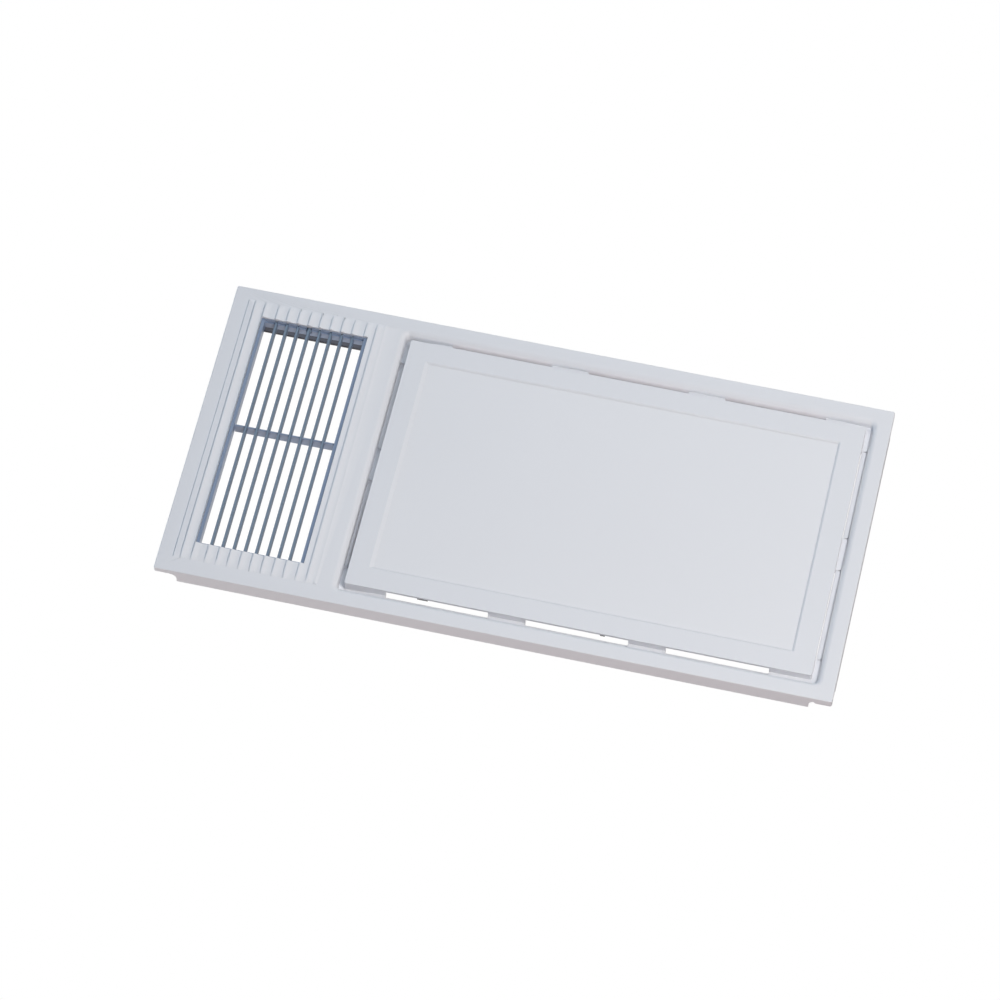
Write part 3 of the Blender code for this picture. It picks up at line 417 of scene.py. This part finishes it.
gusset = gusset_tree()
plate_back = 2.1 * MM
skirt_inside_x, skirt_inside_y = 298.1 * MM, 148.1 * MM
quarter = math.pi / 2
motor_space = (-255 * MM, -200 * MM)
places = []
for x in [(-270 + 30 * k) * MM for k in range(19)]:
    places.append(((x, skirt_inside_y, plate_back), (0, 0, math.pi)))
    if not motor_space[0] < x < motor_space[1]:
        places.append(((x, -skirt_inside_y, plate_back), (0, 0, 0)))
for y in [(-112 + 28 * k) * MM for k in range(9)]:
    places += [((-skirt_inside_x, y, plate_back), (0, 0, -quarter)),
               ((skirt_inside_x, y, plate_back), (0, 0, quarter))]
skirt_gussets = made_by("skirt_gussets", gusset, spots("skirt_gussets", places), white_abs)
stands_for(skirt_gussets, "white_abs", "panel")


def middle_of(node):
    """Middle of a solid's box."""
    return [(low + high) / 2 for low, high in zip(*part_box(node))]


boss_radius = 3.3 * MM
louvre_boss_gussets, light_boss_gussets = [], []
for name in nodes:
    if not name.startswith(("louvre_screw", "light_screw")):
        continue
    x, y, _ = middle_of(name)
    if name.startswith("louvre") or abs(y) < 1 * MM:
        pair = [((x, y + boss_radius, plate_back), (0, 0, 0)), ((x, y - boss_radius, plate_back), (0, 0, math.pi))]
    else:
        pair = [((x - boss_radius, y, plate_back), (0, 0, quarter)),
                ((x + boss_radius, y, plate_back), (0, 0, -quarter))]
    (louvre_boss_gussets if name.startswith("louvre") else light_boss_gussets).extend(pair)
for name, places, height in (("louvre_boss_gussets", louvre_boss_gussets, 2.9 * MM),
                             ("light_boss_gussets", light_boss_gussets, 4.6 * MM)):
    piece = made_by(name, gusset, spots(name, places), white_abs, {
        "Thickness": 1.0 * MM, "Reach": 2.4 * MM, "Height": height, "Tip": 0.6 * MM})
    stands_for(piece, "white_abs", "panel")


# Louvre frame: a slate-grey ABS insert in the panel's outlet, with one cross rib that carries the middle of
# the vanes. The rib has a round nose. Six tabs on the frame's sides take the screws.
rib_front, rib_sides = 3.4 * MM, (-10 * MM, -7.8 * MM)


def on_rib_front(line):
    """Both ends of the edge lie on the front of the cross rib, along its length."""
    first, second = (corner.co for corner in line.verts)
    level = is_at(first.z, rib_front) and is_at(second.z, rib_front)
    return level and is_at(first.y, second.y, 0.02 * MM) and rib_sides[0] < first.y < rib_sides[1]


slate_abs = moulded("slate_abs", (0.2, 0.262, 0.38), (0.215, 0.277, 0.395), 0.3, 0.4, bump=0.3, shine=0.9)
louvre_insert = softened("louvre_insert", "louvre_frame", 0.15 * MM, slate_abs, nose=(on_rib_front, 0.8 * MM))
stands_for(louvre_insert, "slate_louvre", "panel", "louvre_frame")


# Vanes: eight thin slate-grey ABS blades, each moulded in one with its pivots and its crank, and duller than the
# frame. They snap into the frame from the front.
blade_abs = moulded("blade_abs", (0.185, 0.245, 0.325), (0.2, 0.26, 0.34), 0.42, 0.52, bump=0.3, shine=0.12)
for number in range(1, 9):
    blade = softened(f"louvre_blade_{number}", f"vane_{number}", 0.12 * MM, blade_abs)
    stands_for(blade, "slate_louvre", f"vane_{number}_body", f"vane_{number}")


# Link bar: a flat moulded bar of black nylon. It snaps over the eight crank pins, so that all the vanes turn
# together.
black_nylon = moulded("black_nylon", (0.015, 0.015, 0.018), (0.03, 0.03, 0.033), 0.4, 0.55, bump=0.3, marks=0.2)
link_bar = softened("link_bar", "vane_link", 0.2 * MM, black_nylon)
stands_for(link_bar, "black_nylon", "link_body", "vane_link")


# Louvre motor: a small geared stepper motor in a pressed can of plated steel, with two ears and a socket of
# white nylon that holds five pins. Its shaft is turned steel.
def spangle_group():
    """Zinc crystals: a value for each facet, and their faint relief."""
    group, given, shown = shader_group(
        "zinc_spangle", {"Crystal Scale": 160.0, "Grain Scale": 4000.0}, ("Facet", "Height"))
    place = put(group, "ShaderNodeTexCoord").outputs["Object"]
    warp = put(group, "ShaderNodeTexNoise", {"Vector": place, "Scale": 60.0, "Detail": 2})
    bent = put(group, "ShaderNodeMix", {"Factor": 0.012, "A": place, "B": warp.outputs["Color"]}, data_type="VECTOR")
    crystal = put(group, "ShaderNodeTexVoronoi", {
        "Vector": bent.outputs["Result"], "Scale": given["Crystal Scale"]}, feature="F1")
    facet = put(group, "ShaderNodeSeparateColor", {"Color": crystal.outputs["Color"]})
    fine = put(group, "ShaderNodeTexNoise", {"Vector": place, "Scale": given["Grain Scale"], "Detail": 2})
    height = sum_of(group, facet.outputs["Red"], fine.outputs["Fac"])
    group.links.new(facet.outputs["Green"], shown["Facet"])
    group.links.new(height, shown["Height"])
    return group


zinc_spangle = spangle_group()


def plated(name, low, high, rough_low, rough_high, crystal, bump):
    """Zinc plated steel: facets differ a little in tone and gloss, and smudges dull it."""
    made, tree, shader = plain_material(name)
    shader["Metallic"].default_value = 1.0
    skin = put(tree, "ShaderNodeGroup", node_tree=zinc_spangle)
    skin.inputs["Crystal Scale"].default_value = crystal
    smudge = put(tree, "ShaderNodeGroup", node_tree=handling_marks)
    smudge.inputs["Mark Scale"].default_value = 60.0
    tinted(tree, shader, skin.outputs["Facet"], low, high)
    blend = sum_of(tree, skin.outputs["Facet"], smudge.outputs["Marks"])
    gloss = put(tree, "ShaderNodeMapRange", {"Value": blend, "To Min": rough_low, "To Max": rough_high})
    tree.links.new(gloss.outputs["Result"], shader["Roughness"])
    relief = put(tree, "ShaderNodeBump", {
        "Height": skin.outputs["Height"], "Strength": bump, "Distance": 0.04 * MM})
    tree.links.new(relief.outputs["Normal"], shader["Normal"])
    return made


can_steel = plated("can_steel", (0.60, 0.60, 0.62), (0.68, 0.68, 0.70), 0.24, 0.34, crystal=900.0, bump=0.1)
bright_zinc = plated("bright_zinc", (0.62, 0.62, 0.64), (0.72, 0.72, 0.73), 0.22, 0.36, crystal=700.0, bump=0.15)
pale_nylon = moulded("pale_nylon", (0.66, 0.66, 0.62), (0.70, 0.70, 0.66), 0.35, 0.45, bump=0.15)
motor_case = softened("motor_case", "louvre_motor", 0.25 * MM, can_steel)
motor_case.data.materials.append(pale_nylon)
socket_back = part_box("louvre_motor")[0][1]
can_back = socket_back + 3 * MM
for face in motor_case.data.polygons:
    if face.center.y < can_back - 0.05 * MM:
        face.material_index = 1
stands_for(motor_case, "motor_can", "panel", "louvre_motor")


def pin_tree():
    """Row of square pins along X."""
    tree, given, end = size_tree("pin_row", {
        "Count": 5, "Pitch": 2 * MM, "Width": 0.6 * MM, "Depth": 0.6 * MM, "Height": 1.8 * MM})
    size = triple(tree, given["Width"], given["Depth"], given["Height"])
    pin = put(tree, "GeometryNodeMeshCube", {"Size": size}).outputs["Mesh"]
    row = put(tree, "GeometryNodeMeshLine", {
        "Count": given["Count"], "Offset": triple(tree, given["Pitch"])}).outputs[0]
    pins = put(tree, "GeometryNodeInstanceOnPoints", {"Points": row, "Instance": pin}).outputs[0]
    return end_tree(tree, at_spots(tree, given, pins), given, end)


pin_row = pin_tree()
first_pin_x = middle_of("louvre_motor")[0] - 4 * MM
socket_top = 14.6 * MM
motor_pins = made_by("motor_pins", pin_row, spots("motor_pins", [
    ((first_pin_x, socket_back + 1.5 * MM, socket_top), (0, 0, 0))]), bright_zinc)
stands_for(motor_pins, "zinc_steel", "panel")
painted(nodes["motor_shaft"].data, bright_zinc)


# Screws: pan heads with a cross recess, of zinc plated steel. The motor's are M2, and the others are 3 mm
# thread-cutting screws for plastic.
def screw_tree():
    """Screw that stands in -Z under its head, with a cone-topped head, a cross recess and thread ridges."""
    tree, given, end = size_tree("cross_head_screw", {
        "Head Radius": 3 * MM, "Head Height": 2 * MM, "Shank Radius": 1.5 * MM, "Length": 6 * MM, "Ridges": 6})
    radius, height = given["Head Radius"], given["Head Height"]
    rim_share, flat_share, slot_long, slot_wide, core_share, valley_share = 0.4, 0.62, 1.1, 0.24, 0.78, 0.7
    low_height = sum_of(tree, height, rim_share, "MULTIPLY")
    rim = put(tree, "GeometryNodeMeshCylinder", {"Vertices": 28, "Radius": radius, "Depth": low_height}).outputs[0]
    rim = moved(tree, rim, translation=triple(tree, z=sum_of(tree, height, rim_share / 2, "MULTIPLY")))
    dome = put(tree, "GeometryNodeMeshCone", {
        "Vertices": 28, "Radius Bottom": radius, "Radius Top": sum_of(tree, radius, flat_share, "MULTIPLY"),
        "Depth": sum_of(tree, height, 1 - rim_share, "MULTIPLY")}).outputs[0]
    dome = moved(tree, dome, translation=triple(tree, z=low_height))
    head = put(tree, "GeometryNodeMeshBoolean", operation="UNION", solver="EXACT")
    tree.links.new(rim, head.inputs["Mesh 2"])
    tree.links.new(dome, head.inputs["Mesh 2"])
    arm, narrow = sum_of(tree, radius, slot_long, "MULTIPLY"), sum_of(tree, radius, slot_wide, "MULTIPLY")
    bars = [put(tree, "GeometryNodeMeshCube", {"Size": triple(tree, *pair, height)}).outputs["Mesh"]
            for pair in ((arm, narrow), (narrow, arm))]
    raise_bar = triple(tree, z=height)
    cross = put(tree, "GeometryNodeMeshBoolean", {"Mesh 1": head.outputs["Mesh"]},
                operation="DIFFERENCE", solver="EXACT")
    for bar in bars:
        tree.links.new(moved(tree, bar, translation=raise_bar), cross.inputs["Mesh 2"])
    core = put(tree, "GeometryNodeMeshCylinder", {
        "Vertices": 16, "Radius": sum_of(tree, given["Shank Radius"], core_share, "MULTIPLY"),
        "Depth": given["Length"]}).outputs[0]
    core = moved(tree, core, translation=triple(tree, z=sum_of(tree, given["Length"], -0.5, "MULTIPLY")))
    pitch = sum_of(tree, given["Length"], given["Ridges"], "DIVIDE")
    flank = sum_of(tree, pitch, 0.5, "MULTIPLY")
    ridge = put(tree, "GeometryNodeMeshCone", {
        "Vertices": 16, "Radius Bottom": given["Shank Radius"],
        "Radius Top": sum_of(tree, given["Shank Radius"], valley_share, "MULTIPLY"), "Depth": flank}).outputs[0]
    down = triple(tree, z=sum_of(tree, pitch, -1.0, "MULTIPLY"))
    line = put(tree, "GeometryNodeMeshLine", {
        "Count": given["Ridges"], "Start Location": down, "Offset": down}).outputs[0]
    thread = put(tree, "GeometryNodeInstanceOnPoints", {"Points": line, "Instance": ridge}).outputs[0]
    whole = put(tree, "GeometryNodeJoinGeometry")
    for shape in (thread, core, cross.outputs["Mesh"]):
        tree.links.new(shape, whole.inputs[0])
    return end_tree(tree, at_spots(tree, given, whole.outputs[0]), given, end)


cross_head_screw = screw_tree()


def screw_set(name, first, count, sizes, along_y=False):
    """Screws in the places of a family of solids, all in one piece. Each is turned a little further than the last."""
    names = [f"{first}_{k}" for k in range(1, count + 1)]
    places = []
    for each in names:
        low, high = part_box(each)
        x, y, z = middle_of(each)
        if along_y:
            places.append(((x, low[1] + sizes["Head Height"], z), (quarter, 0, 0)))
        else:
            places.append(((x, y, high[2] - sizes["Head Height"]), (0, 0, 0.3 * len(places))))
    piece = made_by(name, cross_head_screw, spots(name, places), bright_zinc, sizes)
    stands_for(piece, "zinc_steel", "panel", *names)


small_head = {"Head Radius": 1.85 * MM, "Head Height": 1.3 * MM, "Shank Radius": 1 * MM}
large_head = {"Head Radius": 2.9 * MM, "Head Height": 2 * MM, "Shank Radius": 1.5 * MM}
screw_set("motor_fixings", "motor_screw", 2, {**small_head, "Length": 5 * MM, "Ridges": 10}, along_y=True)
screw_set("louvre_fixings", "louvre_screw", 6, {**large_head, "Length": 6.5 * MM, "Ridges": 6})


# Outlet collar: a duct collar of dark ABS on the frame's tabs, with a lip round its mouth, short gussets under
# the lip, and bosses at its rear end for the motor.
dark_abs = moulded("dark_abs", (0.036, 0.05, 0.082), (0.044, 0.058, 0.092), 0.45, 0.58, bump=0.3)
duct_collar = softened("duct_collar", "outlet_collar", 0.25 * MM, dark_abs)
stands_for(duct_collar, "dark_collar", "panel", "outlet_collar")
collar_low, collar_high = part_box("outlet_collar")
flange_top, wall_inset = 8.7 * MM, 9.6 * MM
between_screws = (-112, -82, -60, -38, -16, 14, 36, 58, 78, 110)
places = []
for y in between_screws:
    places += [((collar_low[0] + wall_inset, y * MM, flange_top), (0, 0, quarter)),
               ((collar_high[0] - wall_inset, y * MM, flange_top), (0, 0, -quarter))]
collar_gussets = made_by("collar_gussets", gusset, spots("collar_gussets", places), dark_abs, {
    "Thickness": 1.2 * MM, "Reach": 3.2 * MM, "Height": 10.9 * MM, "Tip": 3.0 * MM})
stands_for(collar_gussets, "dark_collar", "panel")


# Gasket: a ring of grey closed-cell foam that seals the collar to the duct. It is cut from sheet and glued to
# the collar's lip.
def foam_material(name):
    """Closed-cell foam: small round cells, some of them open on the cut face, each painted darker towards its middle
    as painted shade in its hollow.
    """
    made, tree, shader = plain_material(name)
    place = put(tree, "ShaderNodeTexCoord").outputs["Object"]
    cells = put(tree, "ShaderNodeTexVoronoi", {"Vector": place, "Scale": 1100.0, "Randomness": 0.9}, feature="F1")
    patch = put(tree, "ShaderNodeTexNoise", {"Vector": place, "Scale": 40.0, "Detail": 3})
    # Painted shade: the colour is darkest in the middle of each cell, where the bump sinks it, times a slow random
    # drift in tone.
    shade = sum_of(tree, cells.outputs["Distance"], patch.outputs["Fac"], "MULTIPLY")
    tinted(tree, shader, shade, (0.07, 0.07, 0.078), (0.19, 0.19, 0.2))
    gloss = put(tree, "ShaderNodeMapRange", {"Value": patch.outputs["Fac"], "To Min": 0.85, "To Max": 0.97})
    tree.links.new(gloss.outputs["Result"], shader["Roughness"])
    relief = put(tree, "ShaderNodeBump", {
        "Height": cells.outputs["Distance"], "Strength": 0.7, "Distance": 0.2 * MM})
    tree.links.new(relief.outputs["Normal"], shader["Normal"])
    return made


foam_ring = softened("foam_ring", "collar_gasket", 0.35 * MM, foam_material("grey_foam"))
stands_for(foam_ring, "grey_foam", "panel", "collar_gasket")


# Diffuser: a 2 mm sheet of opal polystyrene with a fine satin face, that rests on the lip of the panel's light
# opening. Its milky body drifts very slightly in tone.
opal = moulded("opal_sheet", (0.765, 0.768, 0.795), (0.775, 0.778, 0.805), 0.32, 0.42, bump=0.12, grain=3200.0,
               patch=5.0, marks=0.2)
painted(nodes["diffuser"].data, opal)


# Light guide: a 3 mm plate of clear acrylic with a printed grid of white dots that lead the light out of it.
# Behind it lies a thin sheet of white polyester, which throws the light forward.
def guide_material(name):
    """Clear acrylic with a grid of small white dots in its tint."""
    made, tree, shader = plain_material(name)
    shader["Transmission Weight"].default_value = 0.9
    shader["IOR"].default_value = 1.49
    place = put(tree, "ShaderNodeTexCoord").outputs["Object"]
    grid = put(tree, "ShaderNodeTexVoronoi", {"Vector": place, "Scale": 260.0, "Randomness": 0.0}, feature="F1")
    dot = put(tree, "ShaderNodeMapRange", {
        "Value": grid.outputs["Distance"], "From Min": 0.22, "From Max": 0.3, "To Min": 1.0, "To Max": 0.0})
    tinted(tree, shader, dot.outputs["Result"], (0.86, 0.9, 0.91), (0.97, 0.97, 0.97))
    gloss = put(tree, "ShaderNodeMapRange", {"Value": dot.outputs["Result"], "To Min": 0.03, "To Max": 0.5})
    tree.links.new(gloss.outputs["Result"], shader["Roughness"])
    return made


painted(nodes["light_guide"].data, guide_material("dotted_acrylic"))
white_polyester = moulded("white_polyester", (0.86, 0.86, 0.865), (0.9, 0.9, 0.9), 0.5, 0.65, bump=0.2,
                          grain=1500.0, patch=20.0)
painted(nodes["reflector_sheet"].data, white_polyester)


# LED boards: two narrow boards of white lacquered laminate, each with a row of soldered LEDs under yellow
# phosphor. They stand along the long sides and shine into the edges of the light guide.
def two_zone(name, axis, limit, near, far, rough):
    """Board and what stands on it: the colour changes at one distance from the middle along an axis."""
    made, tree, shader = plain_material(name)
    shader["Roughness"].default_value = rough
    place = put(tree, "ShaderNodeTexCoord").outputs["Object"]
    along = put(tree, "ShaderNodeSeparateXYZ", {0: place}).outputs[axis]
    over = sum_of(tree, sum_of(tree, along, 0.0, "ABSOLUTE"), limit, "GREATER_THAN")
    drift = put(tree, "ShaderNodeTexNoise", {"Vector": place, "Scale": 300.0, "Detail": 3})
    shades = []
    for low, high in (near, far):
        shade = put(tree, "ShaderNodeMix", {
            "Factor": drift.outputs["Fac"], "A": (*low, 1), "B": (*high, 1)}, data_type="RGBA")
        shades.append(shade.outputs["Result"])
    pick = put(tree, "ShaderNodeMix", {"Factor": over, "A": shades[0], "B": shades[1]}, data_type="RGBA")
    tree.links.new(pick.outputs["Result"], shader["Base Color"])
    relief = put(tree, "ShaderNodeBump", {"Height": drift.outputs["Fac"], "Strength": 0.1, "Distance": 0.05 * MM})
    tree.links.new(relief.outputs["Normal"], shader["Normal"])
    return made


phosphor, white_lacquer = ((0.82, 0.66, 0.2), (0.88, 0.74, 0.3)), ((0.8, 0.8, 0.78), (0.86, 0.86, 0.84))
strip_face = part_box("led_strip_front")[1][1] - 1.05 * MM
led_board = two_zone("led_board", "Y", strip_face, phosphor, white_lacquer, 0.4)
painted(nodes["led_strip_front"].data, led_board)
painted(nodes["led_strip_rear"].data, led_board)


# Light pan: a pressed tray of 1 mm galvanised steel over the light, stiffened by pressed beads. Each of its ten
# tabs takes a screw into the panel.
pan_zinc = plated("pan_zinc", (0.40, 0.41, 0.43), (0.54, 0.55, 0.57), 0.32, 0.5, crystal=190.0, bump=0.25)
pressed_pan = softened("pressed_pan", "light_pan", 0.4 * MM, pan_zinc)
stands_for(pressed_pan, "zinc_steel", "panel", "light_pan")


def bead_tree():
    """Low pressed bead along X, round at both ends."""
    tree, given, end = size_tree("pressed_bead", {"Length": 340 * MM, "Width": 7 * MM, "Height": 0.8 * MM})
    radius = sum_of(tree, given["Width"], 0.5, "MULTIPLY")
    bar = put(tree, "GeometryNodeMeshCylinder", {
        "Vertices": 32, "Radius": radius, "Depth": given["Length"]}).outputs[0]
    bar = moved(tree, bar, rotation=(0.0, quarter, 0.0))
    ball = put(tree, "GeometryNodeMeshUVSphere", {"Segments": 32, "Rings": 16, "Radius": radius}).outputs[0]
    whole = put(tree, "GeometryNodeJoinGeometry")
    tree.links.new(bar, whole.inputs[0])
    for side in (-0.5, 0.5):
        shift = triple(tree, sum_of(tree, given["Length"], side, "MULTIPLY"))
        tree.links.new(moved(tree, ball, translation=shift), whole.inputs[0])
    flat = triple(tree, 1.0, 1.0, sum_of(tree, given["Height"], radius, "DIVIDE"))
    return end_tree(tree, at_spots(tree, given, moved(tree, whole.outputs[0], scale=flat)), given, end)


pressed_bead = bead_tree()
pan_x = middle_of("light_pan")[0]
pan_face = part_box("light_pan")[1][2] - 0.05 * MM
along = [((pan_x, y * MM, pan_face), (0, 0, 0)) for y in (-88, -56, 56, 88)]
across = [((pan_x + x * MM, 0, pan_face), (0, 0, quarter)) for x in (-165, -125, 125, 165)]
for name, places, length in (("long_beads", along, 330 * MM), ("cross_beads", across, 60 * MM)):
    beads = made_by(name, pressed_bead, spots(name, places), pan_zinc, {"Length": length})
    stands_for(beads, "zinc_steel", "panel")
screw_set("pan_fixings", "light_screw", 10, {**large_head, "Length": 6.4 * MM, "Ridges": 6})


# LED driver: a black nylon tray with a foot at each end, a circuit board on its floor, and a cover with two
# fields of cooling slots. The board has capacitors, a coil and a chip.
driver_tray = softened("driver_tray", "driver_case", 0.3 * MM, black_nylon)
stands_for(driver_tray, "black_nylon", "panel", "driver_case")
green_lacquer, dark_parts = ((0.02, 0.13, 0.06), (0.04, 0.2, 0.09)), ((0.02, 0.02, 0.022), (0.05, 0.045, 0.04))
board_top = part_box("driver_board")[0][2] + 1.65 * MM
painted(nodes["driver_board"].data, two_zone("circuit_board", "Z", board_top, green_lacquer, dark_parts, 0.35))


def vent_tree():
    """Cuts two fields of slots through a cover, on both sides of its middle."""
    middle, _, level = middle_of("driver_cover")
    tree, given, end = size_tree("cover_vents", {
        "Count": 9, "Pitch": 4 * MM, "Length": 26 * MM, "Width": 1.8 * MM, "Depth": 4 * MM, "Inset": 22 * MM})
    slot = put(tree, "GeometryNodeMeshCube", {
        "Size": triple(tree, given["Width"], given["Length"], given["Depth"])}).outputs["Mesh"]
    shape = put(tree, "GeometryNodeMeshBoolean", {"Mesh 1": given["Geometry"]},
                operation="DIFFERENCE", solver="EXACT")
    for side in (-1, 1):
        start = sum_of(tree, sum_of(tree, given["Inset"], side, "MULTIPLY"), middle)
        row = put(tree, "GeometryNodeMeshLine", {
            "Count": given["Count"], "Start Location": triple(tree, start, 0.0, level),
            "Offset": triple(tree, sum_of(tree, given["Pitch"], side, "MULTIPLY"))}).outputs[0]
        slots = put(tree, "GeometryNodeInstanceOnPoints", {"Points": row, "Instance": slot}).outputs[0]
        real = put(tree, "GeometryNodeRealizeInstances", {"Geometry": slots}).outputs[0]
        tree.links.new(real, shape.inputs["Mesh 2"])
    return end_tree(tree, shape.outputs["Mesh"], given, end)


vented_cover = softened("vented_cover", "driver_cover", 0.2 * MM, black_nylon, opening=vent_tree())
painted(vented_cover.data, black_nylon)
stands_for(vented_cover, "black_nylon", "panel", "driver_cover")
screw_set("driver_fixings", "driver_screw", 2, {**large_head, "Length": 1.9 * MM, "Ridges": 2})


# Terminal block and lead clip: black nylon mouldings on the pan, seen through the windows. The block takes two
# wires in its back and lets them go by two small levers, and the clip is a springy open loop.
push_block = softened("push_block", "light_terminal", 0.2 * MM, black_nylon)
stands_for(push_block, "black_nylon", "panel", "light_terminal")
block_low, block_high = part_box("light_terminal")
lever_pitch, lever_height = 4.4 * MM, 4 * MM
first_lever = (middle_of("light_terminal")[0] - lever_pitch / 2, block_low[1], block_high[2] - lever_height)
block_levers = made_by("block_levers", pin_row, spots("block_levers", [(first_lever, (0, 0, 0))]), pale_nylon, {
    "Count": 2, "Pitch": lever_pitch, "Width": 2.4 * MM, "Depth": 1.6 * MM, "Height": lever_height})
stands_for(block_levers, "black_nylon", "panel")
spring_clip = softened("spring_clip", "lead_clip", 0.25 * MM, black_nylon)
stands_for(spring_clip, "black_nylon", "panel", "lead_clip")
